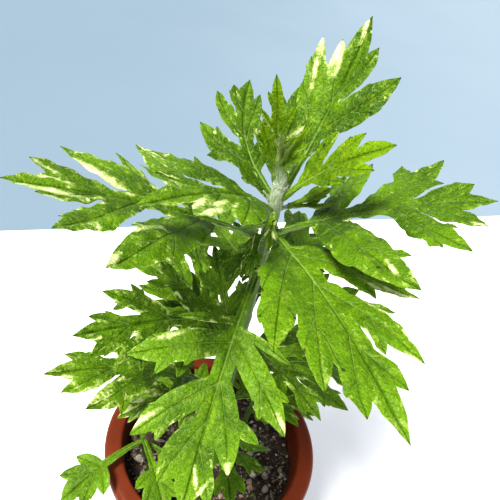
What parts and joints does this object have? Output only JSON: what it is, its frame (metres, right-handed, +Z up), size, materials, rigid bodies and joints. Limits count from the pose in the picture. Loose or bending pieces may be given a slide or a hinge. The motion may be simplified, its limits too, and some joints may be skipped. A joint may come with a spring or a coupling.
{
  "type": "potted variegated mugwort plant",
  "caption": "Leafy herb with deeply cut, white-flecked green leaves set in a spiral up one stem, in a wide-rimmed plastic nursery pot filled with gritty soil.",
  "frame": {"origin": "centre of the pot's base, on the surface that it stands on", "axes": "+Z up along the pot's axis; -Y towards the viewer of the picture and +X to their right"},
  "size_m": [0.138, 0.1538, 0.2948],
  "materials": {
    "pot_plastic": "satin red-brown plastic",
    "soil": "dark crumbly potting mix with grit",
    "stem": "green, felted with fine pale hairs",
    "leaf": "soft leaf, flecked and tipped with cream white",
    "young_leaf": "soft yellow-green young leaf, hairy"
  },
  "bodies": {
    "root": {"Pot": "pot_plastic", "Soil": "soil", "Main_Stem": "stem", "Shoot_Tip": "young_leaf", "Leaf_01": "leaf", "Leaf_02": "leaf", "Leaf_03": "leaf", "Leaf_04": "leaf", "Leaf_05": "leaf", "Leaf_06": "leaf", "Leaf_07": "leaf", "Leaf_08": "leaf", "Leaf_09": "leaf", "Leaf_10": "leaf", "Leaf_11": "leaf", "Leaf_12": "leaf", "Leaf_13": "leaf", "Leaf_14": "leaf", "Leaf_15": "leaf", "Leaf_16": "leaf", "Leaf_17": "leaf", "Leaf_18": "leaf", "Leaf_19": "leaf", "Leaf_20": "leaf", "Leaf_21": "leaf", "Leaf_22": "leaf", "Leaf_23": "leaf", "Leaf_24": "young_leaf", "Sprout_01": "young_leaf", "Sprout_02": "young_leaf", "Sprout_03": "young_leaf", "Sprout_04": "young_leaf", "Sprout_05": "young_leaf", "Sprout_06": "young_leaf", "Sprout_07": "young_leaf", "Sucker_Left": "leaf", "Sucker_Back": "leaf"}
  },
  "joints": []
}
